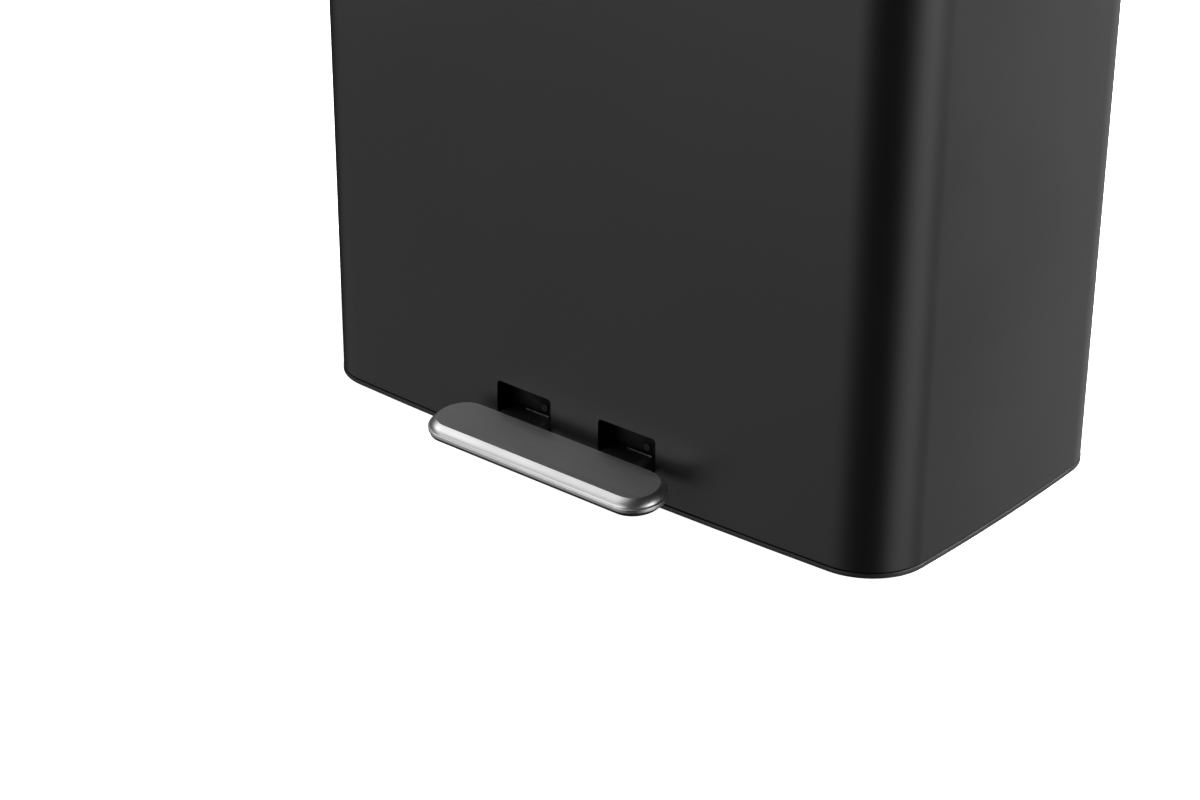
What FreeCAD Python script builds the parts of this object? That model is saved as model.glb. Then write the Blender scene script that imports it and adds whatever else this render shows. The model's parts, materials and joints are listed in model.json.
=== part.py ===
import FreeCAD, Part
import math
import os

# Slim rectangular step bin. Millimetres, +Z up, the pedal faces -Y, X is left to right.
# While it is built, y is measured from the front-most line of the shell towards the back.
# Every piece is then moved so that the origin lies on the floor, under the middle of the
# overall depth from the pedal's front edge to the back of the hinge housing.

# --- driving dimensions: shell -------------------------------------------------------------
WIDTH = 500.0
DEPTH = 262.6
FRONT_RADIUS = 4775.0
SIDE_RADIUS = 1943.0
SIDE_MIDDLE = 134.3
FRONT_CORNER = 44.0
REAR_CORNER = 42.5
SHEET = 0.6
SHELL_BOTTOM = 5.0
SHELL_TOP = 600.0
ORIGIN_Y = 112.5

# --- base ----------------------------------------------------------------------------------
RING_BOTTOM = 1.0
RING_TOP = 4.0
RING_PROUD = 0.3
GROOVE_DEPTH = 2.0
TRAY_GAP = 1.2
TRAY_WALL = 2.5
TRAY_FLOOR = 3.5
TRAY_TOP = 56.0
COVER_TOP = 58.5
FOOT_RADIUS = 11.0
FOOT_SEAT = 1.2
FEET_X = 215.0
FEET_Y = (30.0, 232.0)
POST_X = 200.0
POSTS_Y = (52.0, 210.0)
POST_RADIUS = 5.0
TRAY_RIBS_X = (-150.0, -110.0, 110.0, 150.0)
SHANK_RADIUS = 1.6

# --- slots and the pocket behind them ------------------------------------------------------
SLOT_INNER = 20.7
SLOT_OUTER = 69.2
SLOT_BOTTOM = 10.0
SLOT_TOP = 48.8
SLOT_CORNER = 3.0
STRIP_WIDTH = 6.0
POCKET_HALF = 92.0
POCKET_BACK = 16.0
POCKET_WALL = 2.0
PORTAL_DEPTH = 7.0
SCREW_OFFSET = 5.5
SCREW_HEIGHT = 31.8
SCREW_STEP = 12.0
SLOT_SHANK = 1.4
ARM_CLEARANCE = 1.5

# --- pedal and lever -----------------------------------------------------------------------
ARM_INNER = 23.0
ARM_OUTER = 67.0
ARM_TOP = 26.3
ARM_THICK = 2.5
STOP_INNER = 34.6
STOP_OUTER = 55.4
STOP_HEIGHT = 0.9
PADDLE_REACH = 37.0
AXLE_Y = 60.0
AXLE_Z = 17.0
AXLE_RADIUS = 3.0
AXLE_HALF = 82.0
BLOCK_INNER = 69.5
BLOCK_OUTER = 77.5
BLOCK_ROUND = 10.0
RUN_GAP = 0.05
TONGUE_HALF = 16.0
TONGUE_END = 257.0
TONGUE_ROOT_HALF = 44.0
PEDAL_HALF = 97.2
PEDAL_REAR = -6.2
PEDAL_DEPTH = 43.7
PEDAL_CORNER = 19.2
PEDAL_BOTTOM = 25.0
PEDAL_THICK = 7.8
PEDAL_ROUND = 5.4
PEDAL_TILT = 6.4
PAD_DROP = 2.5
PAD_SCREW_BACK = 19.0
PAD_SCREW_SHIFT = 11.0

# --- lid and hinge -------------------------------------------------------------------------
COLLAR_TOP = 606.0
COLLAR_SKIRT = 570.0
LID_BOTTOM = 608.0
LID_TOP = 628.0
LID_ROUND = 10.0
LINER_BOTTOM = 609.5
LINER_TOP = 620.0
LINER_THICK = 2.5
HINGE_Y = 266.6
HINGE_Z = 612.0
PIN_RADIUS = 2.5
HINGE_HALF = 95.0
HOUSING_BACK = 274.93
HOUSING_BOTTOM = 588.0
HOUSING_TOP = 604.0
HOUSING_SCREW_Z = 596.0
HOUSING_SCREWS_X = (-88.0, -40.0, 40.0, 88.0)
EARS_X = ((84.0, 91.0), (66.0, 72.0), (16.0, 22.0))
PIN_HALF = 93.0
ARM_X = 76.0
ARM_PLATE = 3.0
CRANK_X = 5.0
CRANK_REACH = 13.0
CRANK_DROP = 10.4
CRANK_ANGLE = 40.0
PLATE_REACH = 52.0
LID_SCREWS_BACK = (44.0, 22.0)
LID_SCREW_X = 9.0
LID_RIBS_X = (-150.0, -50.0, 50.0, 150.0)
BUMPER_PLACES = ((-150.0, 7.5), (150.0, 7.5), (-243.5, 134.3), (243.5, 134.3))

# --- push rod and damper -------------------------------------------------------------------
ROD_RADIUS = 2.5
ROD_Y = HINGE_Y - CRANK_REACH
ROD_PIN_RADIUS = 1.75
ROD_FOOT_GAP = 1.0
FOOT_HOLE = 6.2
GUIDE_HEIGHTS = (140.0, 330.0, 560.0)
GUIDE_RIVETS_X = (-6.5, 6.5)
DAMPER_X = 28.0
DAMPER_RADIUS = 8.0
DAMPER_Y = 250.0
DAMPER_BOTTOM = 430.0
DAMPER_TOP = 520.0
PISTON_BOTTOM = 480.0
STRAP_HEIGHTS = (446.0, 506.0)
STRAP_RIVET_X = 41.0
CLAMP_Z = 390.0

# --- inner bucket --------------------------------------------------------------------------
BUCKET_HALF = 229.0
BUCKET_FRONT = 21.0
BUCKET_BACK = 221.0
BUCKET_CORNER = 28.0
BUCKET_BOTTOM = 60.0
BUCKET_TAPER = 6.0
BUCKET_WALL = 1.8
RIM_BOTTOM = 603.0
RIM_TOP = 605.0
GRIP_BOTTOM = 560.0
GRIP_HEIGHT = 24.0
GRIP_FRONT = 86.0
GRIP_BACK = 156.0
GRIP_CORNER = 10.0


def vec(x, y, z):
    return FreeCAD.Vector(x, y, z)


def box(x0, x1, y0, y1, z0, z1):
    return Part.makeBox(x1 - x0, y1 - y0, z1 - z0, vec(x0, y0, z0))


def rod_x(x0, x1, y, z, radius):
    return Part.makeCylinder(radius, x1 - x0, vec(x0, y, z), vec(1, 0, 0))


def rod_y(y0, y1, x, z, radius):
    return Part.makeCylinder(radius, y1 - y0, vec(x, y0, z), vec(0, 1, 0))


def rod_z(z0, z1, x, y, radius):
    return Part.makeCylinder(radius, z1 - z0, vec(x, y, z0), vec(0, 0, 1))


def union(shapes):
    return shapes[0].multiFuse(shapes[1:]).removeSplitter()


def mirrored(shape):
    return shape.mirror(vec(0, 0, 0), vec(1, 0, 0))


def both_sides(shape):
    return [shape, mirrored(shape)]


# --- the shell's outline -------------------------------------------------------------------

def corner_centres():
    """Centres of the right front and right rear corner arcs, each tangent to its neighbours."""
    side_x = WIDTH / 2 - SIDE_RADIUS
    far = FRONT_RADIUS - FRONT_CORNER
    near = SIDE_RADIUS - FRONT_CORNER
    across = math.hypot(side_x, FRONT_RADIUS - SIDE_MIDDLE)
    along = (far ** 2 - near ** 2 + across ** 2) / (2 * across)
    aside = math.sqrt(far ** 2 - along ** 2)
    ux = side_x / across
    uy = (SIDE_MIDDLE - FRONT_RADIUS) / across
    front = vec(ux * along - uy * aside, FRONT_RADIUS + uy * along + ux * aside, 0)
    rear_y = DEPTH - REAR_CORNER
    reach = math.sqrt((SIDE_RADIUS - REAR_CORNER) ** 2 - (rear_y - SIDE_MIDDLE) ** 2)
    return front, vec(side_x + reach, rear_y, 0)


def outline(inset, z):
    """The shell's footprint, moved in by inset, as one closed wire at height z."""
    front, rear = corner_centres()
    front_axis = vec(0, FRONT_RADIUS, 0)
    side_axis = vec(WIDTH / 2 - SIDE_RADIUS, SIDE_MIDDLE, 0)
    down = (front - front_axis).normalize()
    out_front = (front - side_axis).normalize()
    out_rear = (rear - side_axis).normalize()
    back = vec(0, 1, 0)
    right = [
        vec(0, inset, 0),
        front_axis + down * (FRONT_RADIUS - inset),
        front + (down + out_front).normalize() * (FRONT_CORNER - inset),
        side_axis + out_front * (SIDE_RADIUS - inset),
        vec(WIDTH / 2 - inset, SIDE_MIDDLE, 0),
        side_axis + out_rear * (SIDE_RADIUS - inset),
        rear + (back + out_rear).normalize() * (REAR_CORNER - inset),
        rear + back * (REAR_CORNER - inset),
    ]
    left = [vec(-p.x, p.y, 0) for p in right]
    ring = [
        (left[1], right[0], right[1]),
        (right[1], right[2], right[3]),
        (right[3], right[4], right[5]),
        (right[5], right[6], right[7]),
        (right[7], None, left[7]),
        (left[7], left[6], left[5]),
        (left[5], left[4], left[3]),
        (left[3], left[2], left[1]),
    ]
    edges = []
    for start, middle, end in ring:
        if middle is None:
            edges.append(Part.LineSegment(start, end).toShape())
        else:
            edges.append(Part.Arc(start, middle, end).toShape())
    wire = Part.Wire(edges)
    wire.translate(vec(0, 0, z))
    return wire


def prism(inset, z0, z1):
    return Part.Face(outline(inset, z0)).extrude(vec(0, 0, z1 - z0))


def band(outer_inset, inner_inset, z0, z1):
    return prism(outer_inset, z0, z1).cut(prism(inner_inset, z0 - 1, z1 + 1))


def rounded_wire(x0, x1, y0, y1, radius, z):
    """A rectangle with four equal round corners, as a closed wire at height z."""
    corners = ((x1 - radius, y1 - radius, 0), (x0 + radius, y1 - radius, 90),
               (x0 + radius, y0 + radius, 180), (x1 - radius, y0 + radius, 270))
    arcs = []
    for cx, cy, turn in corners:
        points = []
        for angle in (turn, turn + 45, turn + 90):
            rad = math.radians(angle)
            points.append(vec(cx + radius * math.cos(rad), cy + radius * math.sin(rad), z))
        arcs.append(Part.Arc(*points).toShape())
    edges = []
    for i, arc in enumerate(arcs):
        edges.append(arc)
        start = arc.Vertexes[-1].Point
        end = arcs[(i + 1) % 4].Vertexes[0].Point
        edges.append(Part.LineSegment(start, end).toShape())
    return Part.Wire(Part.__sortEdges__(edges))


def rounded_block(x0, x1, y0, y1, radius, z0, z1):
    return Part.Face(rounded_wire(x0, x1, y0, y1, radius, z0)).extrude(vec(0, 0, z1 - z0))


def plate_x(points, x0, x1):
    """A flat plate across X from a polygon of (y, z) points."""
    wire = Part.makePolygon([vec(x0, y, z) for y, z in points + [points[0]]])
    return Part.Face(wire).extrude(vec(x1 - x0, 0, 0))


# --- shell and base ------------------------------------------------------------------------

def slot_cutter(x0, x1):
    block = box(x0, x1, -5, 8, SLOT_BOTTOM, SLOT_TOP)
    middle = (x0 + x1) / 2
    tops = [e for e in block.Edges
            if abs(e.CenterOfMass.z - SLOT_TOP) < 0.01 and abs(e.CenterOfMass.x - middle) > 1]
    return block.makeFillet(SLOT_CORNER, tops)


def screw_places():
    """Heads on the pocket's back wall, one beside the middle of each slot and one at its edge."""
    middle = (SLOT_INNER + SLOT_OUTER) / 2
    shifts = ((SCREW_OFFSET, 0.0), (-SCREW_OFFSET, SCREW_STEP))
    return [(side * middle + shift, SCREW_HEIGHT + lift) for side in (-1, 1) for shift, lift in shifts]


def guide_rivet_places():
    return [(x, z) for z in GUIDE_HEIGHTS for x in GUIDE_RIVETS_X]


def strap_rivet_places():
    return [(STRAP_RIVET_X, z) for z in STRAP_HEIGHTS]


def housing_screw_places():
    return [(x, HOUSING_SCREW_Z) for x in HOUSING_SCREWS_X]


def slot_strips():
    """The lowest part of the sheet, as plain strips that meet edge to edge round the slots."""
    sheet = band(0, SHEET, SHELL_BOTTOM, SLOT_TOP)
    sheet = sheet.cut(Part.makeCompound(both_sides(slot_cutter(SLOT_INNER, SLOT_OUTER))))
    levels = (SHELL_BOTTOM, SLOT_BOTTOM, SLOT_TOP - SLOT_CORNER, SLOT_TOP)
    reach = SLOT_OUTER + STRIP_WIDTH
    strips = []
    for z0, z1 in zip(levels, levels[1:]):
        strips += sheet.common(box(-reach, reach, -5, 8, z0, z1)).Solids
    return strips + sheet.cut(box(-reach, reach, -5, 8, 0, SLOT_TOP + 1)).Solids


def outer_shell():
    """One folded sheet. Its lowest part is given as strips, so that collision is open at the slots."""
    cuts = []
    for x, z in guide_rivet_places() + strap_rivet_places() + housing_screw_places():
        cuts.append(rod_y(DEPTH - 3, DEPTH + 3, x, z, SHANK_RADIUS))
    return [band(0, SHEET, SLOT_TOP, SHELL_TOP).cut(Part.makeCompound(cuts))] + slot_strips()


def arm_ways(y0, y1):
    """Clear passages for the two lever arms, from the tray floor to just above the arms."""
    return both_sides(box(ARM_INNER - ARM_CLEARANCE, ARM_OUTER + ARM_CLEARANCE, y0, y1,
                          TRAY_FLOOR, ARM_TOP + STOP_HEIGHT + 0.2))


def rubber_feet():
    """Thin pads, let into the underside of the tray."""
    return [rod_z(0, RING_BOTTOM + FOOT_SEAT, x, y, FOOT_RADIUS)
            for x in (-FEET_X, FEET_X) for y in FEET_Y]


def base_tray():
    floor = prism(-RING_PROUD, RING_BOTTOM, RING_TOP).cut(prism(TRAY_GAP + TRAY_WALL, TRAY_FLOOR, 50))
    neck = band(GROOVE_DEPTH, TRAY_GAP + TRAY_WALL, TRAY_FLOOR, SHELL_BOTTOM)
    wall = band(TRAY_GAP, TRAY_GAP + TRAY_WALL, SHELL_BOTTOM, TRAY_TOP)
    posts = [rod_z(TRAY_FLOOR, TRAY_TOP, x, y, POST_RADIUS) for x in (-POST_X, POST_X) for y in POSTS_Y]
    ribs = [box(x - 1, x + 1, 5, DEPTH - 5, TRAY_FLOOR, 12) for x in TRAY_RIBS_X]
    portal_y = POCKET_BACK + POCKET_WALL
    portal = box(-POCKET_HALF, POCKET_HALF, portal_y, portal_y + PORTAL_DEPTH, TRAY_FLOOR, TRAY_TOP)
    portal = portal.cut(Part.makeCompound(arm_ways(portal_y - 1, portal_y + PORTAL_DEPTH + 1)))
    tray = union([floor, neck, wall, portal] + posts + ribs)
    cuts = [box(-POCKET_HALF - 0.2, POCKET_HALF + 0.2, -2, 8, SHELL_BOTTOM, TRAY_TOP + 1)]
    cuts += [rod_z(-1, 30, x, y, SHANK_RADIUS) for x in (-POST_X, POST_X) for y in POSTS_Y]
    cuts += rubber_feet()
    cuts += [rod_y(portal_y - 1, portal_y + 6, x, z, SLOT_SHANK) for x, z in screw_places()]
    return tray.cut(Part.makeCompound(cuts))


def base_cover():
    cover = prism(TRAY_GAP, TRAY_TOP, COVER_TOP)
    return cover.cut(rod_z(TRAY_TOP - 1, COVER_TOP + 1, 0, ROD_Y, FOOT_HOLE))


def base_screws():
    screws = []
    for x in (-POST_X, POST_X):
        for y in POSTS_Y:
            head = rod_z(0.4, RING_BOTTOM, x, y, 3.2)
            screws.append(head.fuse(rod_z(RING_BOTTOM, 18, x, y, SHANK_RADIUS)))
    return screws


def slot_housing():
    """The black pocket behind both slots: back wall over the arms, roof and two cheeks."""
    inner = 2.2
    back = box(-POCKET_HALF, POCKET_HALF, POCKET_BACK, POCKET_BACK + POCKET_WALL, SHELL_BOTTOM, TRAY_TOP)
    roof = box(-POCKET_HALF, POCKET_HALF, inner, POCKET_BACK, TRAY_TOP - POCKET_WALL, TRAY_TOP)
    cheek = box(POCKET_HALF - POCKET_WALL, POCKET_HALF, inner, POCKET_BACK, SHELL_BOTTOM, TRAY_TOP)
    holes = [rod_y(POCKET_BACK - 1, POCKET_BACK + 4, x, z, SLOT_SHANK) for x, z in screw_places()]
    housing = union([back, roof] + both_sides(cheek))
    return housing.cut(Part.makeCompound(arm_ways(POCKET_BACK - 1, POCKET_BACK + 4) + holes))


def slot_screws():
    screws = []
    for x, z in screw_places():
        head = rod_y(POCKET_BACK - 1.2, POCKET_BACK, x, z, 2.6)
        cross = box(x - 1.5, x + 1.5, POCKET_BACK - 1.3, POCKET_BACK - 0.7, z - 0.3, z + 0.3)
        cross = cross.fuse(box(x - 0.3, x + 0.3, POCKET_BACK - 1.3, POCKET_BACK - 0.7, z - 1.5, z + 1.5))
        shank = rod_y(POCKET_BACK, POCKET_BACK + 7.5, x, z, SLOT_SHANK)
        screws.append(head.fuse(shank).cut(cross))
    return screws


# --- pedal and lever -----------------------------------------------------------------------

def tilt(shape):
    """Turn a piece drawn level, hanging from the pedal's rear edge, front down by its tilt."""
    shape.rotate(vec(0, PEDAL_REAR, PEDAL_BOTTOM), vec(1, 0, 0), PEDAL_TILT)
    return shape


def pedal_block(inset, z0, z1):
    return rounded_block(-PEDAL_HALF + inset, PEDAL_HALF - inset, PEDAL_REAR - PEDAL_DEPTH + inset,
                         PEDAL_REAR - inset, PEDAL_CORNER - inset, PEDAL_BOTTOM + z0, PEDAL_BOTTOM + z1)


def top_round(shape, z, radius):
    edges = [e for e in shape.Edges if all(abs(v.Z - z) < 0.01 for v in e.Vertexes)
             and abs(e.CenterOfMass.z - z) < 0.01]
    return shape.makeFillet(radius, edges)


def paddle(gap):
    """The end of one lever arm inside the pedal, or with a gap the pocket that takes it."""
    return box(ARM_INNER - gap, ARM_OUTER + gap, PEDAL_REAR - PADDLE_REACH - gap, PEDAL_REAR + 2,
               ARM_TOP - ARM_THICK - gap, ARM_TOP + gap)


def pedal_cap():
    outer = top_round(pedal_block(0, 0, PEDAL_THICK), PEDAL_BOTTOM + PEDAL_THICK, PEDAL_ROUND)
    hollow_top = PEDAL_BOTTOM + PEDAL_THICK - SHEET
    inner = top_round(pedal_block(SHEET, -1, PEDAL_THICK - SHEET), hollow_top, PEDAL_ROUND - SHEET)
    cap = outer.cut(inner)
    return tilt(cap.cut(Part.makeCompound(both_sides(paddle(0.4)))))


def pad_screw_places():
    middle = (ARM_INNER + ARM_OUTER) / 2
    return [(side * middle + shift, PEDAL_REAR - PAD_SCREW_BACK)
            for side in (-1, 1) for shift in (-PAD_SCREW_SHIFT, PAD_SCREW_SHIFT)]


def pedal_base():
    low = pedal_block(SHEET + 0.4, -PAD_DROP, 2.0)
    high = pedal_block(5.2, 1.0, PEDAL_THICK - SHEET - 0.4)
    pad = union([low, high])
    cuts = both_sides(paddle(0.1))
    for x, y in pad_screw_places():
        cuts.append(rod_z(PEDAL_BOTTOM - PAD_DROP - 1, PEDAL_BOTTOM + 5, x, y, 1.5))
        cuts.append(rod_z(PEDAL_BOTTOM - PAD_DROP - 1, PEDAL_BOTTOM - PAD_DROP + 0.8, x, y, 3.0))
    return tilt(pad.cut(Part.makeCompound(cuts)))


def pedal_screws():
    screws = []
    low = PEDAL_BOTTOM - PAD_DROP + 0.1
    for x, y in pad_screw_places():
        screws.append(tilt(rod_z(low, low + 0.7, x, y, 3.0).fuse(rod_z(low, PEDAL_BOTTOM + 5, x, y, 1.5))))
    return screws


def pedal_lever():
    low = ARM_TOP - ARM_THICK
    arm = box(ARM_INNER, ARM_OUTER, PEDAL_REAR, AXLE_Y - 10, low, ARM_TOP)
    stop = box(STOP_INNER, STOP_OUTER, POCKET_BACK - 2.6, POCKET_BACK - 1.4, ARM_TOP, ARM_TOP + STOP_HEIGHT)
    pad = paddle(0)
    for x, y in pad_screw_places():
        pad = pad.cut(rod_z(low - 1, ARM_TOP + 1, x, y, 1.5))
    pad = tilt(pad)
    ear = plate_x([(AXLE_Y - 16, low), (AXLE_Y - 9, AXLE_Z - 7), (AXLE_Y + 9, AXLE_Z - 7),
                   (AXLE_Y + 16, low)], ARM_OUTER - ARM_THICK, ARM_OUTER)
    bridge = box(-ARM_OUTER, ARM_OUTER, AXLE_Y - 16, AXLE_Y + 22, low, ARM_TOP)
    tongue_top = plate_tongue(low)
    flange = box(TONGUE_HALF - 2, TONGUE_HALF, AXLE_Y + 20, TONGUE_END - 10, low - 7, low)
    pieces = [bridge, tongue_top] + both_sides(arm) + both_sides(pad) + both_sides(ear)
    lever = union(pieces + both_sides(flange) + both_sides(stop))
    return lever.cut(rod_x(-AXLE_HALF, AXLE_HALF, AXLE_Y, AXLE_Z, AXLE_RADIUS + RUN_GAP))


def plate_tongue(low):
    """The rear arm of the lever, which narrows from the bridge to the push rod."""
    start = AXLE_Y + 22
    right = [(TONGUE_ROOT_HALF, start - 1), (TONGUE_HALF, start + 40), (TONGUE_HALF, TONGUE_END)]
    points = right + [(-x, y) for x, y in reversed(right)]
    wire = Part.makePolygon([vec(x, y, low) for x, y in points + [points[0]]])
    return Part.Face(wire).extrude(vec(0, 0, ARM_THICK))


def lever_axle():
    return rod_x(-AXLE_HALF, AXLE_HALF, AXLE_Y, AXLE_Z, AXLE_RADIUS)


def axle_blocks():
    foot = box(BLOCK_INNER, BLOCK_OUTER, AXLE_Y - BLOCK_ROUND, AXLE_Y + BLOCK_ROUND, TRAY_FLOOR, AXLE_Z)
    block = foot.fuse(rod_x(BLOCK_INNER, BLOCK_OUTER, AXLE_Y, AXLE_Z, BLOCK_ROUND))
    return both_sides(block.cut(lever_axle()))


def axle_clips():
    inner = BLOCK_OUTER + 0.5
    clip = rod_x(inner, inner + 1, AXLE_Y, AXLE_Z, 6).cut(lever_axle())
    mouth = box(inner - 1, inner + 2, AXLE_Y - 1.5, AXLE_Y + 1.5, AXLE_Z, AXLE_Z + 8)
    return both_sides(clip.cut(mouth))


# --- push rod and damper -------------------------------------------------------------------

def push_rod():
    pin_z = HINGE_Z - CRANK_DROP
    stem = rod_z(ARM_TOP + 8, pin_z + 3, 0, ROD_Y, ROD_RADIUS)
    pin = rod_x(0, CRANK_X + ARM_PLATE + 2, ROD_Y, pin_z, ROD_PIN_RADIUS)
    head = rod_x(CRANK_X + ARM_PLATE + 0.6, CRANK_X + ARM_PLATE + 2, ROD_Y, pin_z, 3.2)
    return union([stem, pin, head])


def rod_foot():
    """Plastic shoe on the rod's lower end, with a domed sole that rides on the lever."""
    low = ARM_TOP + ROD_FOOT_GAP
    dome = Part.makeSphere(9, vec(0, ROD_Y, low + 9)).common(rod_z(low, low + 2, 0, ROD_Y, 5))
    shoe = union([rod_z(low + 1.5, low + 22, 0, ROD_Y, 5), dome])
    return shoe.cut(rod_z(ARM_TOP + 8, low + 40, 0, ROD_Y, ROD_RADIUS))


def rod_guides():
    guides = []
    for z in GUIDE_HEIGHTS:
        block = box(-10, 10, ROD_Y - 6, DEPTH - SHEET, z - 8, z + 8)
        bore = rod_z(z - 9, z + 9, 0, ROD_Y, ROD_RADIUS + RUN_GAP)
        holes = [rod_y(ROD_Y, DEPTH, x, z, SHANK_RADIUS) for x in GUIDE_RIVETS_X]
        guides.append(block.cut(Part.makeCompound([bore] + holes)))
    return guides


def rivets(places, depth):
    """Rivets through the back wall, low domed heads outside."""
    out = []
    for x, z in places:
        head = rod_y(DEPTH, DEPTH + 0.9, x, z, 3.0)
        shank = rod_y(DEPTH - SHEET - depth, DEPTH, x, z, SHANK_RADIUS)
        out.append(head.fuse(shank))
    return out


def guide_rivets():
    return rivets(guide_rivet_places(), 2.4)


def damper_cylinder():
    tube = rod_z(DAMPER_BOTTOM, DAMPER_TOP, DAMPER_X, DAMPER_Y, DAMPER_RADIUS)
    bore = rod_z(DAMPER_BOTTOM + 3, DAMPER_TOP - 2, DAMPER_X, DAMPER_Y, DAMPER_RADIUS - 1.5)
    neck = rod_z(DAMPER_BOTTOM - 1, DAMPER_BOTTOM + 4, DAMPER_X, DAMPER_Y, 2 + RUN_GAP)
    return tube.cut(bore).cut(neck)


def damper_piston():
    rod = rod_z(CLAMP_Z + 8, PISTON_BOTTOM + 4, DAMPER_X, DAMPER_Y, 2)
    return rod.fuse(rod_z(PISTON_BOTTOM, PISTON_BOTTOM + 7, DAMPER_X, DAMPER_Y, DAMPER_RADIUS - 1.6))


def damper_clamp():
    arm = box(-6, DAMPER_X + 5, DAMPER_Y - 4, DAMPER_Y + 7, CLAMP_Z, CLAMP_Z + 8)
    return arm.cut(rod_z(CLAMP_Z - 1, CLAMP_Z + 9, 0, ROD_Y, ROD_RADIUS))


def damper_brackets():
    straps = []
    for z in STRAP_HEIGHTS:
        plate = box(DAMPER_X - 10, DAMPER_X + 20, DAMPER_Y - 2, DEPTH - SHEET, z - 6, z + 6)
        hug = union([plate, rod_z(z - 6, z + 6, DAMPER_X, DAMPER_Y, DAMPER_RADIUS + 2)])
        hug = hug.cut(rod_z(z - 7, z + 7, DAMPER_X, DAMPER_Y, DAMPER_RADIUS))
        straps.append(hug.cut(rod_y(DAMPER_Y, DEPTH, STRAP_RIVET_X, z, SHANK_RADIUS)))
    return straps


def damper_rivets():
    return rivets(strap_rivet_places(), 4.0)


# --- top: collar, hinge, lid ---------------------------------------------------------------

def top_collar():
    flange = prism(0, SHELL_TOP, COLLAR_TOP)
    skirt = band(SHEET + 0.3, SHEET + 2.3, COLLAR_SKIRT, SHELL_TOP)
    collar = union([flange, skirt])
    seat = rounded_block(-BUCKET_HALF - 7, BUCKET_HALF + 7, BUCKET_FRONT - 7, BUCKET_BACK + 7,
                         BUCKET_CORNER + 7, RIM_BOTTOM, COLLAR_TOP + 1)
    throat = rounded_block(-BUCKET_HALF - 1, BUCKET_HALF + 1, BUCKET_FRONT - 1, BUCKET_BACK + 1,
                           BUCKET_CORNER + 1, SHELL_TOP - 1, RIM_BOTTOM + 1)
    crank_way = box(-14, 16, ROD_Y - 14, DEPTH + 1, SHELL_TOP - 15, COLLAR_TOP + 1)
    cuts = [seat, throat, crank_way]
    cuts += [rod_y(DEPTH - 5, DEPTH, x, z, SHANK_RADIUS) for x, z in housing_screw_places()]
    return collar.cut(Part.makeCompound(cuts))


def hinge_housing():
    """Moulded bar on the back of the shell, whose ears carry the hinge pin."""
    bar = box(-HINGE_HALF - 3, HINGE_HALF + 3, DEPTH, HOUSING_BACK, HOUSING_BOTTOM, HOUSING_TOP)
    bar = bar.makeFillet(3, [e for e in bar.Edges if abs(e.CenterOfMass.y - HOUSING_BACK) < 0.01])
    ears = []
    for x0, x1 in EARS_X:
        ear = box(x0, x1, DEPTH, HINGE_Y + 6, HOUSING_TOP - 1, HINGE_Z)
        ears += both_sides(ear.fuse(rod_x(x0, x1, HINGE_Y, HINGE_Z, 6)))
    ears = [ear.cut(box(-100, 100, DEPTH - 10, DEPTH, 595, 607)) for ear in ears]
    housing = union([bar] + ears)
    crank_way = box(1, 12, DEPTH - 1, DEPTH + 9, HOUSING_TOP - 6, HOUSING_TOP + 2)
    cuts = [hinge_pin(), crank_way]
    cuts += [rod_y(DEPTH - 1, DEPTH + 8, x, z, SHANK_RADIUS) for x, z in housing_screw_places()]
    return housing.cut(Part.makeCompound(cuts))


def housing_screws():
    screws = []
    seat = DEPTH - SHEET - 2.3
    for x, z in housing_screw_places():
        head = rod_y(seat - 1.4, seat, x, z, 3.2)
        screws.append(head.fuse(rod_y(seat, DEPTH + 8, x, z, SHANK_RADIUS)))
    return screws


def hinge_pin():
    return rod_x(-PIN_HALF, PIN_HALF, HINGE_Y, HINGE_Z, PIN_RADIUS)


def pin_caps():
    cap = rod_x(PIN_HALF - 2, PIN_HALF + 1.5, HINGE_Y, HINGE_Z, 4.5)
    return both_sides(cap.cut(hinge_pin()))


def hinge_notch(z):
    return box(-HINGE_HALF, HINGE_HALF, DEPTH - 16, DEPTH + 2, LID_BOTTOM - 5, z)


def lid_skin():
    outer = top_round(prism(0, LID_BOTTOM, LID_TOP), LID_TOP, LID_ROUND)
    inner = top_round(prism(SHEET, LID_BOTTOM - 2, LID_TOP - SHEET), LID_TOP - SHEET, LID_ROUND - SHEET)
    return outer.cut(inner).cut(hinge_notch(LINER_TOP - 0.5))


def lid_screw_places():
    return [(x0 + LID_SCREW_X, HINGE_Y - back)
            for x0 in (ARM_X, -ARM_X - ARM_PLATE, CRANK_X) for back in LID_SCREWS_BACK]


def lid_liner():
    block = prism(SHEET + 0.5, LINER_BOTTOM, LINER_TOP)
    liner = block.cut(prism(SHEET + 2.7, LINER_BOTTOM - 1, LINER_TOP - LINER_THICK))
    stiff = [box(x - 1, x + 1, 12, DEPTH - 30, LINER_TOP - 7, LINER_TOP - 1) for x in LID_RIBS_X]
    holes = [rod_z(LINER_TOP - LINER_THICK, LINER_TOP - 0.6, x, y, SHANK_RADIUS)
             for x, y in lid_screw_places()]
    return union([liner] + stiff).cut(Part.makeCompound([hinge_notch(LINER_TOP - LINER_THICK)] + holes))


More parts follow.
